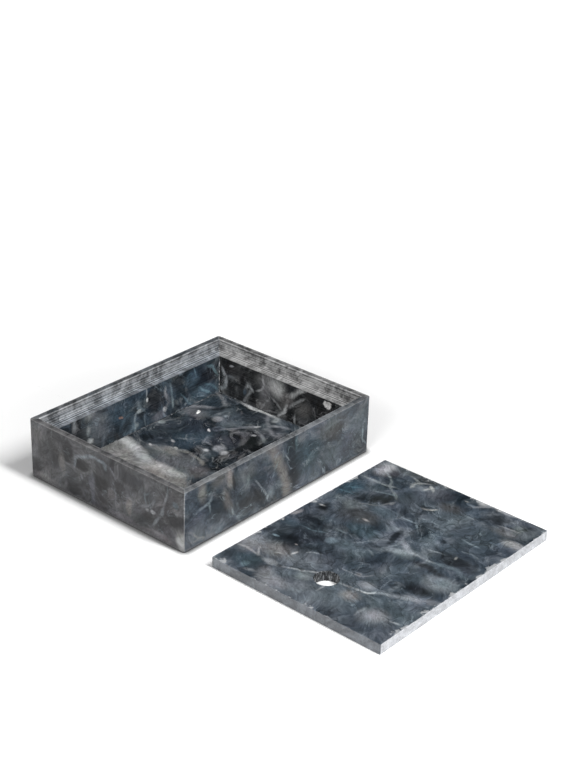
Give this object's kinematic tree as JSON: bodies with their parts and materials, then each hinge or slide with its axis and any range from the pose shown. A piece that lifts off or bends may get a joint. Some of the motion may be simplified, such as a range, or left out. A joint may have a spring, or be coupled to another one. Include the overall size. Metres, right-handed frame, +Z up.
{
  "type": "lidded keepsake box",
  "caption": "Low rectangular box of smoky marbled resin, with a ledge inside its rim and a loose flat lid with a finger hole, shown lifted off beside it.",
  "frame": {"origin": "middle of the box's underside, on the surface that it stands on", "axes": "+X along the box's long side to its right end, +Y along its short side to the back, away from the lid that lies in front, +Z up"},
  "size_m": [0.2137, 0.348, 0.05],
  "materials": {
    "wall_resin": "cast resin, marbled smoke grey, slate and near-black; hazy satin outside, frosted where it is milled, polished inside",
    "base_resin": "cast resin, marbled near-black and slate blue with white veins, polished",
    "lid_resin": "cast resin, marbled slate blue, black and white, polished faces and sanded pale edges"
  },
  "bodies": {
    "box": {"wall_front": "wall_resin", "wall_right": "wall_resin", "wall_back": "wall_resin", "wall_left": "wall_resin", "base_plate": "base_resin"},
    "lid": {"lid": "lid_resin"}
  },
  "joints": [
    {"name": "lid_lift", "type": "slide", "parent": "box", "child": "lid", "axis": [0, 0, 1], "range_m": [0, 0.08]}
  ]
}
